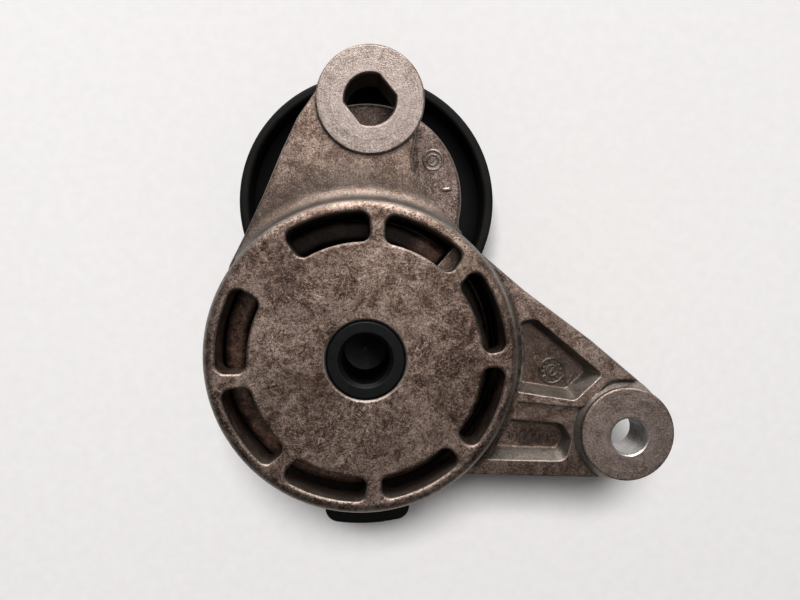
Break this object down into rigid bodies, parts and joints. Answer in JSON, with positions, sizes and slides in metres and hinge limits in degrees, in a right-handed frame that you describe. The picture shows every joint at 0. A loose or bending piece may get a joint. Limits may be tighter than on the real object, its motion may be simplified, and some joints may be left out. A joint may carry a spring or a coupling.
{
  "type": "belt tensioner idler",
  "caption": "Automatic belt tensioner: cast drum base with mounting ears, windows in its back, sprung arm inside and a black idler pulley on a sealed ball bearing.",
  "frame": {"origin": "pivot axis, in the plane of the two machined ear faces", "axes": "+Z along the pivot axis out of the drum's back face; +Y roughly towards the pulley and the upper ear; +X towards the right ear"},
  "size_m": [0.1331, 0.1402, 0.0602],
  "materials": {
    "cast_aluminium": "as die-cast, mottled and slightly grimy",
    "black_phosphated_steel": "black phosphate",
    "spring_steel": "surface rust over dark spring steel",
    "bearing_steel": "ground",
    "zinc_steel": "zinc plated",
    "black_plastic": "moulded glass-filled plastic",
    "friction_plastic": "smooth low-friction plastic",
    "seal_rubber": "moulded rubber",
    "bronze_lined": "sintered"
  },
  "bodies": {
    "housing": {"base_housing": "cast_aluminium", "pivot_shaft": "black_phosphated_steel", "thrust_washer_inner": "friction_plastic", "thrust_washer_outer": "friction_plastic", "retaining_plate": "zinc_steel", "friction_lining": "friction_plastic", "lining_clip": "spring_steel", "damper_ring": "black_plastic", "torsion_spring": "spring_steel"},
    "arm": {"tension_arm": "cast_aluminium", "pivot_bush": "bronze_lined", "spring_guide": "black_plastic", "bearing_inner_ring": "bearing_steel", "dust_shield": "zinc_steel", "pulley_bolt": "zinc_steel"},
    "pulley": {"pulley": "black_plastic", "bearing_outer_ring": "bearing_steel", "bearing_seal_rear": "seal_rubber", "bearing_seal_front": "seal_rubber", "dust_cap": "black_plastic"},
    "ball_set": {"bearing_balls": "bearing_steel", "bearing_cage": "zinc_steel"}
  },
  "joints": [
    {"name": "arm_pivot", "type": "hinge", "parent": "housing", "child": "arm", "pos_m": [0, 0, -0.015], "axis": [0, 0, 1], "range_deg": [-40, 0], "stiffness_Nm_per_rad": 10, "springref_deg": 22.92, "deforming": ["torsion_spring"]},
    {"name": "pulley_spin", "type": "hinge", "parent": "arm", "child": "pulley", "pos_m": [0.00075, 0.046, -0.0392], "axis": [0, 0, 1], "continuous": true},
    {"name": "ball_set_spin", "type": "hinge", "parent": "arm", "child": "ball_set", "pos_m": [0.00075, 0.046, -0.0392], "axis": [0, 0, 1], "continuous": true}
  ],
  "couplings": [
    {"joint": "ball_set_spin", "follows": "pulley_spin", "ratio": 0.6158}
  ]
}
